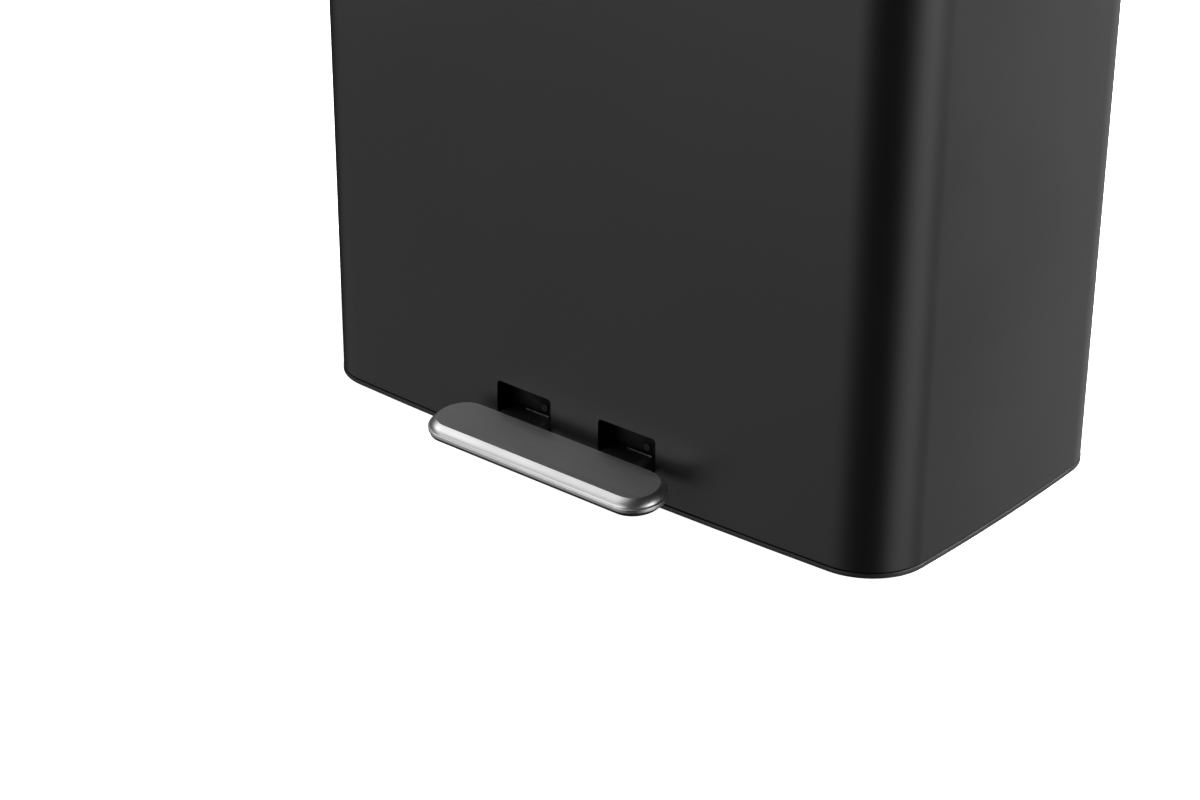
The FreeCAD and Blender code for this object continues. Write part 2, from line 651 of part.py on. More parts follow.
def hinge_plate(x0, leg):
    """One steel plate of the lid: a boss on the pin, an arm under the liner and its foot."""
    under = LINER_TOP - LINER_THICK
    front = HINGE_Y - PLATE_REACH
    arm = plate_x([(HINGE_Y, HINGE_Z - 4), (HINGE_Y - 20, HINGE_Z - 1), (front, under - 3),
                   (front, under), (HINGE_Y - 6, under), (HINGE_Y, HINGE_Z + 4)],
                  x0, x0 + ARM_PLATE)
    foot = box(x0, x0 + 14, front, HINGE_Y - 12, under - 2, under)
    boss = rod_x(x0, x0 + ARM_PLATE, HINGE_Y, HINGE_Z, 5.5)
    pieces = [arm, foot, boss]
    if leg:
        pieces.append(crank_leg(x0))
    plate = union(pieces).cut(rod_x(x0 - 1, x0 + 30, HINGE_Y, HINGE_Z, PIN_RADIUS + RUN_GAP))
    for back in LID_SCREWS_BACK:
        plate = plate.cut(rod_z(under - 3, under + 1, x0 + LID_SCREW_X, HINGE_Y - back, SHANK_RADIUS))
    return plate.cut(crank_slot(x0)) if leg else plate


def crank_bar(x0, x1, inner, outer, half):
    """A bar with round ends that lies on the crank's line, below the front of the hinge."""
    angle = math.radians(CRANK_ANGLE)
    ends = []
    for reach in (inner, outer):
        y = HINGE_Y - reach * math.cos(angle)
        z = HINGE_Z - reach * math.sin(angle)
        ends.append((y, z))
    sy, sz = math.sin(angle) * half, -math.cos(angle) * half
    (y0, z0), (y1, z1) = ends
    body = plate_x([(y0 + sy, z0 + sz), (y1 + sy, z1 + sz), (y1 - sy, z1 - sz), (y0 - sy, z0 - sz)], x0, x1)
    return union([body, rod_x(x0, x1, y0, z0, half), rod_x(x0, x1, y1, z1, half)])


def crank_leg(x0):
    return crank_bar(x0, x0 + ARM_PLATE, 2.0, 17.0, 5.0)


def crank_slot(x0):
    return crank_bar(x0 - 1, x0 + ARM_PLATE + 1, 12.6, 17.0, ROD_PIN_RADIUS + 0.8)


def lid_hinge_arms():
    return [hinge_plate(ARM_X, False), hinge_plate(-ARM_X - ARM_PLATE, False)]


def lid_crank():
    return hinge_plate(CRANK_X, True)


def lid_screws():
    screws = []
    under = LINER_TOP - LINER_THICK
    for x, y in lid_screw_places():
        head = rod_z(under - 3.4, under - 2, x, y, 3.0)
        screws.append(head.fuse(rod_z(under - 2, LINER_TOP - 0.6, x, y, SHANK_RADIUS)))
    return screws


def lid_bumpers():
    return [rod_z(COLLAR_TOP, LINER_BOTTOM - 0.2, x, y, 2.2) for x, y in BUMPER_PLACES]


# --- bucket --------------------------------------------------------------------------------

def bucket_wire(inset, z):
    return rounded_wire(-BUCKET_HALF + inset, BUCKET_HALF - inset, BUCKET_FRONT + inset,
                        BUCKET_BACK - inset, BUCKET_CORNER - inset, z)


def inner_bucket():
    outer = Part.makeLoft([bucket_wire(BUCKET_TAPER, BUCKET_BOTTOM), bucket_wire(0, RIM_BOTTOM)], True, True)
    inner = Part.makeLoft([bucket_wire(BUCKET_TAPER + BUCKET_WALL, BUCKET_BOTTOM + 2.5),
                           bucket_wire(BUCKET_WALL, RIM_TOP + 1)], True, True)
    rim = rounded_block(-BUCKET_HALF - 5.5, BUCKET_HALF + 5.5, BUCKET_FRONT - 5.5, BUCKET_BACK + 5.5,
                        BUCKET_CORNER + 5.5, RIM_BOTTOM, RIM_TOP)
    grips = []
    for side in (-1, 1):
        middle = side * BUCKET_HALF
        hole = box(middle - 8, middle + 8, GRIP_FRONT, GRIP_BACK, GRIP_BOTTOM, GRIP_BOTTOM + GRIP_HEIGHT)
        edges = [e for e in hole.Edges if abs(e.tangentAt(e.FirstParameter).x) > 0.9]
        grips.append(hole.makeFillet(GRIP_CORNER, edges))
    return union([outer, rim]).cut(inner).cut(Part.makeCompound(grips))


def bag_ring():
    outer = rounded_block(-BUCKET_HALF - 4, BUCKET_HALF + 4, BUCKET_FRONT - 4, BUCKET_BACK + 4,
                          BUCKET_CORNER + 4, RIM_TOP, RIM_TOP + 2.5)
    lip = rounded_block(-BUCKET_HALF + 2.2, BUCKET_HALF - 2.2, BUCKET_FRONT + 2.2, BUCKET_BACK - 2.2,
                        BUCKET_CORNER - 2.2, RIM_TOP - 14, RIM_TOP)
    hole = rounded_block(-BUCKET_HALF + 4.2, BUCKET_HALF - 4.2, BUCKET_FRONT + 4.2, BUCKET_BACK - 4.2,
                         BUCKET_CORNER - 4.2, RIM_TOP - 20, RIM_TOP + 5)
    return union([outer, lip]).cut(hole)


PIECES = (
    outer_shell, base_tray, base_cover, base_screws, rubber_feet, slot_housing, slot_screws,
    pedal_cap, pedal_base, pedal_screws, pedal_lever, lever_axle, axle_blocks, axle_clips,
    push_rod, rod_foot, rod_guides, guide_rivets, damper_cylinder, damper_piston, damper_clamp,
    damper_brackets, damper_rivets, top_collar, hinge_housing, housing_screws, hinge_pin, pin_caps,
    lid_skin, lid_liner, lid_hinge_arms, lid_crank, lid_screws, lid_bumpers, inner_bucket, bag_ring,
)


def main():
    os.makedirs("parts", exist_ok=True)
    for piece in PIECES:
        shape = piece()
        if isinstance(shape, list):
            shape = Part.makeCompound(shape)
        shape.translate(vec(0, -ORIGIN_Y, 0))
        shape.exportStep("parts/" + piece.__name__ + ".step")
        bounds = shape.BoundBox
        print("%-18s solids %2d valid %s  y %.2f..%.2f  z %.2f..%.2f" % (
            piece.__name__, len(shape.Solids), shape.isValid(),
            bounds.YMin, bounds.YMax, bounds.ZMin, bounds.ZMax))


main()
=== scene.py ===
import json
import math

import bmesh
import bpy
from mathutils import Matrix, Vector


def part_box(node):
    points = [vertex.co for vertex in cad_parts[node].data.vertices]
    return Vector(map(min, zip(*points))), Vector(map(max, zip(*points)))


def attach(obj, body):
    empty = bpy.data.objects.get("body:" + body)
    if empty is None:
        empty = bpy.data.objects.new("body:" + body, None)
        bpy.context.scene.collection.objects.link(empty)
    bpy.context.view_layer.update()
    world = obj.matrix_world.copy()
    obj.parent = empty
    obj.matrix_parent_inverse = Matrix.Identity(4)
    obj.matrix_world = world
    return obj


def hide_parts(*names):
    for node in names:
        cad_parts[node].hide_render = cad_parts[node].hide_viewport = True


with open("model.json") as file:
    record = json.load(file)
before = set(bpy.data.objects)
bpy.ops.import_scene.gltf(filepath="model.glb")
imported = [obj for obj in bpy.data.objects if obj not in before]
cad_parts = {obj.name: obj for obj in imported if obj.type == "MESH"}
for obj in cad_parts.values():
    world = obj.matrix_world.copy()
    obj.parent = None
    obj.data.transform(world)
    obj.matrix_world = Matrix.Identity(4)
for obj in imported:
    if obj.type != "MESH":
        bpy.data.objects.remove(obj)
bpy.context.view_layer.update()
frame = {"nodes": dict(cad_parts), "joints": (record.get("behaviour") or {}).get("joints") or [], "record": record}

MM = 0.001
SHEET = 0.6 * MM
SHELL_LOW, SHELL_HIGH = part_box("outer_shell")
CAP_LOW, CAP_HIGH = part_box("pedal_cap")
BODIES = frame["record"]["behaviour"]["bodies"]
BODY_OF = {node: body for body, nodes in BODIES.items() for node in nodes}
SLOT_OF = {part["node"]: part["material_slot"] for part in frame["record"]["subparts"]}


# --- node helpers --------------------------------------------------------------------------

class Shader:
    """A material's node tree, with short calls for the nodes that the finishes share."""

    def __init__(self, name):
        self.material = bpy.data.materials.new(name)
        self.material.use_nodes = True
        self.tree = self.material.node_tree
        self.tree.nodes.clear()
        self.surface = self.node("ShaderNodeBsdfPrincipled")
        output = self.node("ShaderNodeOutputMaterial")
        self.link(self.surface.outputs["BSDF"], output.inputs["Surface"])
        self.place = self.node("ShaderNodeTexCoord").outputs["Object"]

    def node(self, kind, **settings):
        made = self.tree.nodes.new(kind)
        for key, value in settings.items():
            setattr(made, key, value)
        return made

    def link(self, source, target):
        self.tree.links.new(source, target)

    def feed(self, value, socket):
        if isinstance(value, (int, float, tuple, list)):
            socket.default_value = value
        else:
            self.link(value, socket)

    def stretch(self, scale):
        mapping = self.node("ShaderNodeMapping")
        self.link(self.place, mapping.inputs["Vector"])
        mapping.inputs["Scale"].default_value = scale
        return mapping.outputs["Vector"]

    def noise(self, scale, detail=3.0, roughness=0.55, vector=None):
        made = self.node("ShaderNodeTexNoise")
        made.inputs["Scale"].default_value = scale
        made.inputs["Detail"].default_value = detail
        made.inputs["Roughness"].default_value = roughness
        self.link(vector or self.place, made.inputs["Vector"])
        return made.outputs["Fac"]

    def cells(self, scale, vector=None):
        made = self.node("ShaderNodeTexVoronoi")
        made.inputs["Scale"].default_value = scale
        self.link(vector or self.place, made.inputs["Vector"])
        return made.outputs["Distance"]

    def spread(self, value, low, high, to_low=0.0, to_high=1.0):
        made = self.node("ShaderNodeMapRange", interpolation_type="SMOOTHSTEP")
        self.feed(value, made.inputs["Value"])
        limits = {"From Min": low, "From Max": high, "To Min": to_low, "To Max": to_high}
        for name, number in limits.items():
            made.inputs[name].default_value = number
        return made.outputs["Result"]

    def math(self, operation, a, b=0.0):
        made = self.node("ShaderNodeMath", operation=operation)
        self.feed(a, made.inputs[0])
        self.feed(b, made.inputs[1])
        return made.outputs[0]

    def blend(self, fac, a, b):
        made = self.node("ShaderNodeMix", data_type="RGBA")
        self.feed(fac, made.inputs["Factor"])
        self.feed(a, made.inputs[6])
        self.feed(b, made.inputs[7])
        return made.outputs[2]

    def axis(self, index):
        split = self.node("ShaderNodeSeparateXYZ")
        self.link(self.place, split.inputs["Vector"])
        return split.outputs[index]

    def bump(self, height, distance, strength=1.0, below=None):
        made = self.node("ShaderNodeBump")
        made.inputs["Strength"].default_value = strength
        made.inputs["Distance"].default_value = distance
        self.link(height, made.inputs["Height"])
        if below is not None:
            self.link(below, made.inputs["Normal"])
        return made.outputs["Normal"]

    def finish(self, colour, rough, normal=None, **constants):
        self.feed(colour, self.surface.inputs["Base Color"])
        self.feed(rough, self.surface.inputs["Roughness"])
        if normal is not None:
            self.link(normal, self.surface.inputs["Normal"])
        for name, value in constants.items():
            self.surface.inputs[name.replace("_", " ")].default_value = value
        return self.material


def grey(value, warm=0.0):
    return (value * (1 + warm), value, value * (1 - warm), 1.0)


# --- finishes ------------------------------------------------------------------------------

def powder_coat():
    """Matt black powder coat: fine grain, a slow orange peel under it, a trace of dust."""
    s = Shader("powder_coat")
    grain = s.noise(2600.0, 2.0)
    peel = s.noise(420.0, 2.0)
    cloud = s.noise(9.0, 3.0)
    colour = s.blend(s.spread(cloud, 0.3, 0.7), grey(0.0056), grey(0.0064))
    colour = s.blend(s.spread(grain, 0.62, 0.8, 0.0, 0.35), colour, grey(0.012))
    uneven = s.spread(cloud, 0.3, 0.7, -0.008, 0.008)
    rough = s.math("ADD", s.spread(grain, 0.3, 0.7, 0.35, 0.39), uneven)
    normal = s.bump(peel, 0.00004, 0.25)
    normal = s.bump(grain, 0.00002, 0.4, normal)
    return s.finish(colour, rough, normal, Specular_IOR_Level=0.5)


# The stop tab on each arm: a line of unpainted metal, painted as the highlight on its top edge, shows between
# these places along Y and above this height.
STOP_FRONT = -0.1000
STOP_BACK = -0.0970
STOP_EDGE = 0.0268
HIGHLIGHT_FADE = 0.0005


def lever_paint():
    """Satin black paint on pressed steel, with a painted highlight of bright unpainted metal along the top edges
    of the small stop tabs.
    """
    s = Shader("lever_paint")
    grain = s.noise(900.0, 3.0)
    along = s.axis(1)
    high = s.axis(2)
    from_front = s.spread(along, STOP_FRONT - HIGHLIGHT_FADE, STOP_FRONT + HIGHLIGHT_FADE)
    from_back = s.spread(along, STOP_BACK + HIGHLIGHT_FADE, STOP_BACK - HIGHLIGHT_FADE)
    near_stop = s.math("MULTIPLY", from_front, from_back)
    # Painted highlight: bright metal colour along the top edge of each stop tab.
    bare_edge_highlight = s.math("MULTIPLY", near_stop, s.spread(high, STOP_EDGE, STOP_EDGE + 0.0002))
    bare_edge_highlight = s.math("MULTIPLY", bare_edge_highlight, s.spread(grain, 0.30, 0.42))
    colour = s.blend(s.spread(s.noise(30.0), 0.3, 0.7), grey(0.010), grey(0.016))
    colour = s.blend(bare_edge_highlight, colour, grey(0.35))
    rough = s.spread(grain, 0.3, 0.7, 0.40, 0.54)
    s.feed(bare_edge_highlight, s.surface.inputs["Metallic"])
    return s.finish(colour, rough, s.bump(grain, 0.00003, 0.4), Specular_IOR_Level=0.35)


def brushed_steel():
    """Satin stainless steel, brushed along the pedal, with a few longer scratches."""
    s = Shader("brushed_steel")
    fine = s.noise(1.0, 4.0, 0.7, s.stretch((60.0, 5200.0, 5200.0)))
    broad = s.noise(1.0, 2.0, 0.5, s.stretch((14.0, 900.0, 900.0)))
    cloud = s.noise(26.0, 2.0)
    lines = s.math("ADD", s.math("MULTIPLY", fine, 0.65), s.math("MULTIPLY", broad, 0.35))
    colour = s.blend(s.spread(lines, 0.35, 0.65), grey(0.50), grey(0.60))
    scuffs = s.spread(s.noise(1.0, 2.0, 0.5, s.stretch((30.0, 2400.0, 2400.0))), 0.68, 0.76)
    colour = s.blend(s.math("MULTIPLY", scuffs, 0.3), colour, grey(0.74))
    rough = s.math("ADD", s.spread(lines, 0.3, 0.7, 0.33, 0.42), s.spread(cloud, 0.3, 0.7, -0.02, 0.03))
    normal = s.bump(fine, 0.00001, 0.25)
    return s.finish(colour, rough, normal, Metallic=1.0)


def moulded(name, shade, rough, texture=1500.0, shine=0.4):
    """Moulded plastic with a spark-eroded texture and slow changes of gloss."""
    s = Shader(name)
    spark = s.cells(texture)
    cloud = s.noise(18.0, 3.0)
    colour = s.blend(s.spread(cloud, 0.3, 0.7), grey(shade * 0.9), grey(shade * 1.12))
    colour = s.blend(s.spread(s.noise(700.0, 2.0), 0.66, 0.8, 0.0, 0.25), colour, grey(shade * 1.8))
    gloss = s.spread(cloud, 0.3, 0.7, rough - 0.04, rough + 0.05)
    return s.finish(colour, gloss, s.bump(spark, 0.00005, 0.35), Specular_IOR_Level=shine)


def plated(name, shade, rough):
    """Zinc-plated or turned steel: blotchy plating over drawn lines."""
    s = Shader(name)
    draw = s.noise(1.0, 3.0, 0.6, s.stretch((1500.0, 1500.0, 120.0)))
    blotch = s.cells(160.0)
    colour = s.blend(s.spread(blotch, 0.1, 0.7), grey(shade * 0.88, 0.01), grey(shade * 1.08, -0.01))
    uneven = s.spread(blotch, 0.1, 0.7, 0.0, 0.05)
    gloss = s.math("ADD", s.spread(draw, 0.3, 0.7, rough - 0.05, rough + 0.06), uneven)
    return s.finish(colour, gloss, s.bump(draw, 0.00002, 0.4), Metallic=1.0)


def soft_rubber():
    """Dull black rubber with dust in its grain."""
    s = Shader("soft_rubber")
    dust = s.noise(240.0, 4.0)
    colour = s.blend(s.spread(dust, 0.5, 0.75), grey(0.012), grey(0.045, 0.05))
    rough = s.spread(dust, 0.3, 0.7, 0.68, 0.85)
    return s.finish(colour, rough, s.bump(dust, 0.0001, 0.4), Specular_IOR_Level=0.3)


def pale_floor():
    """White paper that gives its own light, so that it stays even and pale."""
    s = Shader("pale_floor")
    cloud = s.noise(1.2, 2.0)
    s.surface.inputs["Emission Color"].default_value = (1.0, 1.0, 1.0, 1.0)
    return s.finish(s.blend(s.spread(cloud, 0.3, 0.7), grey(0.90), grey(0.92)), 0.9,
                    Specular_IOR_Level=0.0, Emission_Strength=1.0)


FINISH = {
    "shell_paint": powder_coat(),
    "lever_paint": lever_paint(),
    "pedal_steel": brushed_steel(),
    "black_plastic": moulded("black_plastic", 0.012, 0.46),
    "bucket_plastic": moulded("bucket_plastic", 0.07, 0.50, 900.0),
    "plated_steel": plated("plated_steel", 0.45, 0.36),
    "screw_steel": plated("screw_steel", 0.62, 0.28),
    "rubber": soft_rubber(),
}
NODE_FINISH = {
    # The pocket behind each slot gets a darker copy of the black plastic: painted shade for the deep recess.
    "slot_housing": moulded("pocket_plastic_painted_shade", 0.004, 0.62, 1100.0, 0.2),
    "slot_screws": plated("blackened_screw", 0.16, 0.26),
}


def finish_of(node):
    return NODE_FINISH.get(node, FINISH[SLOT_OF[node]])


# --- pieces --------------------------------------------------------------------------------

def add_piece(name, mesh, node):
    """A refined piece that stands for a CAD node: same body, same material slot."""
    piece = bpy.data.objects.new(name, mesh)
    bpy.context.scene.collection.objects.link(piece)
    mesh.materials.append(finish_of(node))
    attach(piece, BODY_OF[node])
    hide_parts(node)
    return piece


def apply_modifiers(piece):
    bpy.context.view_layer.update()
    solved = piece.evaluated_get(bpy.context.evaluated_depsgraph_get())
    piece.data = bpy.data.meshes.new_from_object(solved)
    piece.modifiers.clear()


def eased(node, width, segments=2, angle=32.0):
    """The CAD node again with every sharp edge rounded, which catches the light as real edges do."""
    source = frame["nodes"][node]
    work = bmesh.new()
    work.from_mesh(source.data)
    bmesh.ops.remove_doubles(work, verts=work.verts, dist=0.002 * MM)
    bmesh.ops.dissolve_limit(work, angle_limit=math.radians(0.4), verts=work.verts, edges=work.edges)
    for face in work.faces:
        face.smooth = True
    mesh = bpy.data.meshes.new(node + "_eased")
    work.to_mesh(mesh)
    work.free()
    piece = add_piece(node + "_eased", mesh, node)
    bevel = piece.modifiers.new("ease", "BEVEL")
    bevel.width = width * MM
    bevel.segments = segments
    bevel.limit_method = "ANGLE"
    bevel.angle_limit = math.radians(angle)
    bevel.harden_normals = True
    apply_modifiers(piece)


def finish_cad_nodes():
    for node, piece in frame["nodes"].items():
        piece.data.materials.clear()
        piece.data.materials.append(finish_of(node))


# --- the shell ------------------------------------------------------------------------------

WIDTH = 500.0 * MM
DEPTH = 262.6 * MM
FRONT_RADIUS = 4775.0 * MM
SIDE_RADIUS = 1943.0 * MM
SIDE_MIDDLE = 134.3 * MM
FRONT_CORNER = 44.0 * MM
REAR_CORNER = 42.5 * MM
ORIGIN = Vector((0.0, -112.5 * MM))
SLOT_X = (20.7 * MM, 69.2 * MM)
SLOT_Z = (10.0 * MM, 48.8 * MM)
SLOT_CORNER = 3.0 * MM
CUT_FRONT = -118.0 * MM
CUT_BACK = -104.0 * MM
SHELL_EASE = 0.15 * MM
FACES_OUT = 0.985


def shell_arcs():
    """Right half of the shell's outline, front to back: (centre, radius, first and last angle)."""
    side_axis = Vector((WIDTH / 2 - SIDE_RADIUS, SIDE_MIDDLE))
    front_axis = Vector((0.0, FRONT_RADIUS))
    far = FRONT_RADIUS - FRONT_CORNER
    near = SIDE_RADIUS - FRONT_CORNER
    apart = side_axis - front_axis
    across = apart.length
    along = (far ** 2 - near ** 2 + across ** 2) / (2 * across)
    aside = math.sqrt(far ** 2 - along ** 2)
    unit = apart / across
    front = front_axis + unit * along + Vector((-unit.y, unit.x)) * aside
    rear_y = DEPTH - REAR_CORNER
    reach = math.sqrt((SIDE_RADIUS - REAR_CORNER) ** 2 - (rear_y - SIDE_MIDDLE) ** 2)
    rear = Vector((side_axis.x + reach, rear_y))
    front_turn = math.atan2(*(front - front_axis).yx)
    side_front = math.atan2(*(front - side_axis).yx)
    side_rear = math.atan2(*(rear - side_axis).yx)
    return ((front_axis, FRONT_RADIUS, -math.pi / 2, front_turn, 150),
            (front, FRONT_CORNER, front_turn, side_front, 48),
            (side_axis, SIDE_RADIUS, side_front, side_rear, 80),
            (rear, REAR_CORNER, side_rear, math.pi / 2, 48))


ARCS = shell_arcs()


def shell_outline(inset):
    """Points round the shell, counterclockwise from the middle of the front, moved in by inset."""
    right = []
    for centre, radius, start, end, steps in ARCS:
        for i in range(steps):
            turn = start + (end - start) * i / steps
            right.append(centre + Vector((math.cos(turn), math.sin(turn))) * (radius - inset))
    rear = ARCS[-1][0]
    right.append(Vector((rear.x, rear.y + REAR_CORNER - inset)))
    left = [Vector((-p.x, p.y)) for p in reversed(right[1:])]
    return [p + ORIGIN for p in right + left]


def shell_normal(x, y):
    """The outline's true outward direction at a point on it."""
    point = Vector((abs(x), y)) - ORIGIN
    sign = -1.0 if x < 0 else 1.0
    rear = ARCS[-1][0]
    if point.y > rear.y and point.x < rear.x:
        return Vector((0.0, 1.0, 0.0))
    for centre, _, start, end, _ in ARCS:
        away = point - centre
        if start - 1e-6 <= math.atan2(away.y, away.x) <= end + 1e-6:
            away.normalize()
            return Vector((sign * away.x, away.y, 0.0))
    return Vector((0.0, -1.0, 0.0))


def prism(name, outline, z0, z1):
    """A closed prism whose ends are outline, for use as a cutter."""
    work = bmesh.new()
    low = [work.verts.new((x, y, z0)) for x, y in outline]
    high = [work.verts.new((x, y, z1)) for x, y in outline]
    count = len(outline)
    for i in range(count):
        j = (i + 1) % count
        work.faces.new((low[i], low[j], high[j], high[i]))
    work.faces.new(list(reversed(low)))
    work.faces.new(high)
    bmesh.ops.recalc_face_normals(work, faces=work.faces)
    mesh = bpy.data.meshes.new(name)
    work.to_mesh(mesh)
    work.free()
    return mesh


def slot_cutter(side):
    """A slot-shaped block across the front sheet; its two upper corners are round."""
    x0, x1 = sorted(side * x for x in SLOT_X)
    z0, z1 = SLOT_Z
    points = [(x0, -z0), (x1, -z0)]
    for cx, first in ((x1 - SLOT_CORNER, 0.0), (x0 + SLOT_CORNER, math.pi / 2)):
        for i in range(9):
            turn = first + math.pi / 2 * i / 8
            height = z1 - SLOT_CORNER + SLOT_CORNER * math.sin(turn)
            points.append((cx + SLOT_CORNER * math.cos(turn), -height))
    mesh = prism("slot_cutter", points, CUT_FRONT, CUT_BACK)
    upright = Matrix(((1, 0, 0, 0), (0, 0, 1, 0), (0, -1, 0, 0), (0, 0, 0, 1)))
    mesh.transform(upright)
    cutter = bpy.data.objects.new("slot_cutter", mesh)
    bpy.context.scene.collection.objects.link(cutter)
    return cutter


def painted_shell():
    """The folded sheet, open at top and bottom, with both slots and eased outer edges."""
    outer = shell_outline(0.0)
    inner = shell_outline(SHEET)
    z0, z1 = SHELL_LOW.z, SHELL_HIGH.z
    outer_eased = shell_outline(SHELL_EASE)
    levels = [(outer_eased, z0), (outer, z0 + SHELL_EASE)]
    levels += [(outer, z) for z in (0.03, 0.06, 0.12, 0.2, 0.3, 0.4, 0.5, 0.58)]
    levels += [(outer, z1 - SHELL_EASE), (outer_eased, z1), (inner, z1), (inner, z0)]
    work = bmesh.new()
    rings = [[work.verts.new((p.x, p.y, z)) for p in line] for line, z in levels]
    for low, high in zip(rings, rings[1:] + rings[:1]):
        for i in range(len(low)):
            j = (i + 1) % len(low)
            work.faces.new((low[i], low[j], high[j], high[i]))
    bmesh.ops.recalc_face_normals(work, faces=work.faces)
    mesh = bpy.data.meshes.new("painted_shell")
    work.to_mesh(mesh)
    work.free()
    piece = add_piece("painted_shell", mesh, "outer_shell")
    cutters = [slot_cutter(-1), slot_cutter(1)]
    for cutter in cutters:
        cut = piece.modifiers.new("cut", "BOOLEAN")
        cut.solver = "EXACT"
        cut.object = cutter
    apply_modifiers(piece)
    for cutter in cutters:
        bpy.data.objects.remove(cutter)
    set_wall_normals(piece.data)


def set_wall_normals(mesh):
    """True normals on the wall, so that a cut through it doesn't disturb the shading round it."""
    for face in mesh.polygons:
        face.use_smooth = True
    normals = []
    for face in mesh.polygons:
        for index in face.vertices:
            x, y, _ = mesh.vertices[index].co
            wall = shell_normal(x, y)
            turn = face.normal.dot(wall)
            if turn > FACES_OUT:
                normals.append(wall)
            elif turn < -FACES_OUT:
                normals.append(-wall)
            else:
                normals.append(face.normal.copy())
    mesh.normals_split_custom_set(normals)


# --- the pedal's cap -----------------------------------------------------------------------

PEDAL_TILT = math.radians(6.4)
CAP_LENGTH = CAP_HIGH.x - CAP_LOW.x
CAP_DEPTH = 43.7 * MM
CAP_THICK = 7.8 * MM
CAP_CORNER = 21.6 * MM
CAP_BOTTOM = 25.0 * MM
AXLE_TO_SHELL = 60.0 * MM
SHELL_TO_CAP = 6.2 * MM
LIP_ROUND = 0.4 * MM
LIP_HEIGHT = 2.5 * MM
LIP_PROUD = 0.5 * MM
LIP_LONGER = 1.3 * MM
ROLL_WIDTH = 5.6 * MM
ROLL_RISE = 1.4 * MM
ROLL_RUN = 3.4 * MM
CREASE = math.radians(28)
END_INSET = 0.8
BACK_INSET = 0.55


def cap_outline(inset, longer, steps=14):
    """Points round the cap's outline, moved in by inset (less behind and at the ends than in
    front) and let out at both ends by longer."""
    half = CAP_LENGTH / 2 - inset * END_INSET + longer
    near = CAP_CORNER - inset
    far = CAP_CORNER - inset * BACK_INSET
    back = CAP_DEPTH - inset * BACK_INSET
    corners = ((half - far, back - far, far, 0), (far - half, back - far, far, 1),
               (near - half, inset + near, near, 2), (half - near, inset + near, near, 3))
    points = []
    for cx, cy, radius, quarter in corners:
        for i in range(steps + 1):
            angle = math.pi / 2 * (quarter + i / steps)
            points.append((cx + radius * math.cos(angle), cy + radius * math.sin(angle)))
    return points


def roll_points(count):
    """(inset, height, unit inward direction) along the roll, from the lip up to the top face."""
    foot = LIP_HEIGHT + 0.05 * MM
    knots = (Vector((LIP_PROUD, foot)), Vector((LIP_PROUD, foot + ROLL_RISE)),
             Vector((LIP_PROUD + ROLL_WIDTH - ROLL_RUN, CAP_THICK - ROLL_RUN * math.tan(CREASE))),
             Vector((LIP_PROUD + ROLL_WIDTH, CAP_THICK)))
    points = []
    for i in range(count + 1):
        t = i / count
        weights = ((1 - t) ** 3, 3 * t * (1 - t) ** 2, 3 * t * t * (1 - t), t ** 3)
        place = sum((w * knot for w, knot in zip(weights, knots)), Vector((0.0, 0.0)))
        slopes = ((1 - t) ** 2, 2 * t * (1 - t), t * t)
        steps = (w * (b - a) for w, a, b in zip(slopes, knots, knots[1:]))
        along = sum(steps, Vector((0.0, 0.0))).normalized()
        points.append((place.x, place.y, Vector((along.y, -along.x))))
    return points


def cap_profile():
    """(inset, height, longer) from under the top face, down inside, round the lip, up the roll."""
    inside = [(inset + SHEET * inward.x, height + SHEET * inward.y, 0.0)
              for inset, height, inward in roll_points(8)]
    flat = CAP_THICK - SHEET
    line = [(inside[-1][0] + 0.2 * MM, flat, 0.0)] + inside[::-1]
    lip = [(SHEET + LIP_PROUD, LIP_HEIGHT - SHEET), (SHEET + LIP_PROUD, 0.9 * MM), (SHEET, 0.35 * MM),
           (SHEET * 0.7, 0.05 * MM), (0.12 * MM, 0.0),
           (0.0, 0.12 * MM), (0.0, 0.3 * MM), (0.0, LIP_HEIGHT - LIP_ROUND * 1.6)]
    for i in range(1, 6):
        angle = math.pi / 2 * i / 5
        lip.append((LIP_ROUND * (1 - math.cos(angle)), LIP_HEIGHT - LIP_ROUND * (1 - math.sin(angle))))
    line += [(inset, height, LIP_LONGER) for inset, height in lip]
    return line + [(inset, height, 0.0) for inset, height, _ in roll_points(24)]


def cap_frame():
    """Takes the level drawing, whose back edge is at its own depth, to the tilted pedal."""
    pivot = Vector((0.0, CAP_DEPTH, 0.0))
    origin_y = frame["joints"][1]["pos_m"][1] - AXLE_TO_SHELL - SHELL_TO_CAP
    turn = Matrix.Rotation(PEDAL_TILT, 4, "X")
    return Matrix.Translation((0.0, origin_y, CAP_BOTTOM)) @ turn @ Matrix.Translation(-pivot)


def pedal_cap():
    """The hollow cap: rings from under its top face, round the lip and the roll, to the top."""
    work = bmesh.new()
    rings = []
    for inset, height, longer in cap_profile():
        rings.append([work.verts.new((x, y, height)) for x, y in cap_outline(inset, longer)])
    for low, high in zip(rings, rings[1:]):
        for i in range(len(low)):
            j = (i + 1) % len(low)
            work.faces.new((low[i], low[j], high[j], high[i]))
    work.faces.new(rings[-1])
    work.faces.new(list(reversed(rings[0])))
    bmesh.ops.recalc_face_normals(work, faces=work.faces)
    for face in work.faces:
        face.smooth = True
        if len(face.verts) > 4:
            for edge in face.edges:
                edge.smooth = False
    work.transform(cap_frame())
    mesh = bpy.data.meshes.new("pedal_cap_brushed")
    work.to_mesh(mesh)
    work.free()
    add_piece("pedal_cap_brushed", mesh, "pedal_cap")


# --- room, light, camera -------------------------------------------------------------------

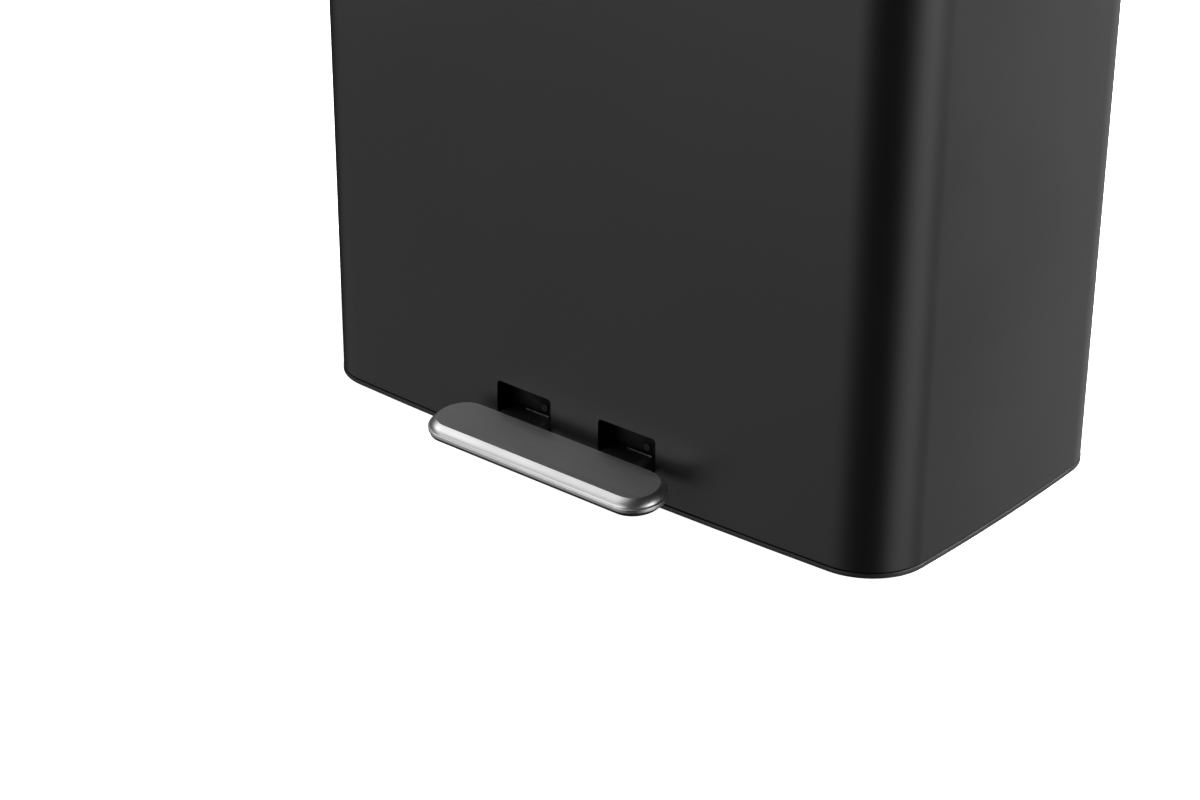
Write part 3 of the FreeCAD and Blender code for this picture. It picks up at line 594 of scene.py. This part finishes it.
# The studio's soft lights. Each is (azimuth, elevation, half width in degrees,
# strength); azimuth 0 looks along +X, to the right of the can, and -90 looks out of its front.
SOFT_LIGHTS = {
    "card on the right, which lights the short side": (8, 8, 32, 3.0),
    "card at the front left, which lights the wide front": (-110, 8, 32, 2.3),
    "overhead box on the left, which rolls over the pedal's edge": (-155, 48, 32, 1.8),
    "floor under the right card": (0, -30, 28, 1.0),
    "floor in front, which the wide front mirrors": (-140, -30, 50, 0.4),
    "floor behind on the right, which the short side mirrors": (80, -30, 36, 0.5),
}


def soft_light(tree, direction, azimuth, elevation, half_width, strength):
    """The brightness of one round soft light, fading smoothly to nothing at its half width."""
    turn, lift = math.radians(azimuth), math.radians(elevation)
    aim = (math.cos(lift) * math.cos(turn), math.cos(lift) * math.sin(turn), math.sin(lift))
    along = tree.nodes.new("ShaderNodeVectorMath")
    along.operation = "DOT_PRODUCT"
    along.inputs[1].default_value = aim
    tree.links.new(direction, along.inputs[0])
    glow = tree.nodes.new("ShaderNodeMapRange")
    glow.interpolation_type = "SMOOTHSTEP"
    glow.inputs["From Min"].default_value = math.cos(math.radians(half_width))
    glow.inputs["From Max"].default_value = 1.0
    glow.inputs["To Max"].default_value = strength
    tree.links.new(along.outputs["Value"], glow.inputs["Value"])
    return glow.outputs["Result"]


def soft_dome():
    """A black world that holds the soft lights, as cards and boxes in a dark studio do."""
    world = bpy.data.worlds.new("soft_dome")
    bpy.context.scene.world = world
    world.use_nodes = True
    tree = world.node_tree
    direction = tree.nodes.new("ShaderNodeTexCoord").outputs["Generated"]
    total = None
    for settings in SOFT_LIGHTS.values():
        glow = soft_light(tree, direction, *settings)
        if total is None:
            total = glow
            continue
        added = tree.nodes.new("ShaderNodeMath")
        tree.links.new(total, added.inputs[0])
        tree.links.new(glow, added.inputs[1])
        total = added.outputs[0]
    background = tree.nodes["Background"].inputs
    tree.links.new(total, background["Strength"])
    background["Color"].default_value = (1.0, 1.0, 1.0, 1.0)


FLOOR_HALF = 30.0
FLOOR_DROP = 0.2 * MM


def studio():
    """The lights all round, and a floor that shows but casts and takes no shadow."""
    bpy.context.scene.view_settings.view_transform = "Standard"
    soft_dome()
    floor = bpy.data.meshes.new("floor")
    work = bmesh.new()
    bmesh.ops.create_grid(work, x_segments=8, y_segments=8, size=FLOOR_HALF)
    work.to_mesh(floor)
    work.free()
    floor.materials.append(pale_floor())
    piece = bpy.data.objects.new("floor", floor)
    piece.location.z = -FLOOR_DROP
    piece.visible_diffuse = False
    piece.visible_glossy = False
    piece.visible_shadow = False
    bpy.context.scene.collection.objects.link(piece)


def soft_box(name, place, target, size, power):
    light = bpy.data.lights.new(name, "AREA")
    light.shape = "RECTANGLE"
    light.size, light.size_y = size
    light.energy = power
    lamp = bpy.data.objects.new(name, light)
    lamp.location = place
    aim = Vector(target) - Vector(place)
    lamp.rotation_euler = aim.to_track_quat("-Z", "Y").to_euler()
    bpy.context.scene.collection.objects.link(lamp)


CAMERA_YAW = math.radians(40.556)
CAMERA_PITCH = math.radians(25.774)
CAMERA_ROLL = 0.00432
CAMERA_PLACE = Vector((1.07280, -1.33990, 0.84280))
CAMERA_LENS = 82.61


def camera():
    data = bpy.data.cameras.new("camera")
    data.lens = CAMERA_LENS
    data.sensor_width = 36.0
    made = bpy.data.objects.new("camera", data)
    turn = Matrix.Rotation(CAMERA_YAW, 4, "Z") @ Matrix.Rotation(math.pi / 2 - CAMERA_PITCH, 4, "X")
    turn = turn @ Matrix.Rotation(CAMERA_ROLL, 4, "Z")
    made.matrix_world = Matrix.Translation(CAMERA_PLACE) @ turn
    bpy.context.scene.collection.objects.link(made)
    bpy.context.scene.camera = made


EASED = ("base_tray", "slot_housing", "pedal_base", "pedal_lever", "top_collar", "hinge_housing",
         "lid_hinge_arms", "lid_crank", "axle_blocks", "base_cover", "damper_brackets",
         "damper_clamp", "rod_guides", "lid_skin", "lid_liner", "bag_ring")
EASED_WIDTH = 0.25

finish_cad_nodes()
painted_shell()
pedal_cap()
for node in EASED:
    eased(node, EASED_WIDTH)

studio()
soft_box("rear_box", (1.9, 2.2, 1.8), (0.25, 0.1, 0.3), (1.5, 1.5), 500.0)
soft_box("left_box", (-0.6, -0.35, 0.35), (0.0, -0.13, 0.03), (0.2, 0.2), 0.35)
camera()
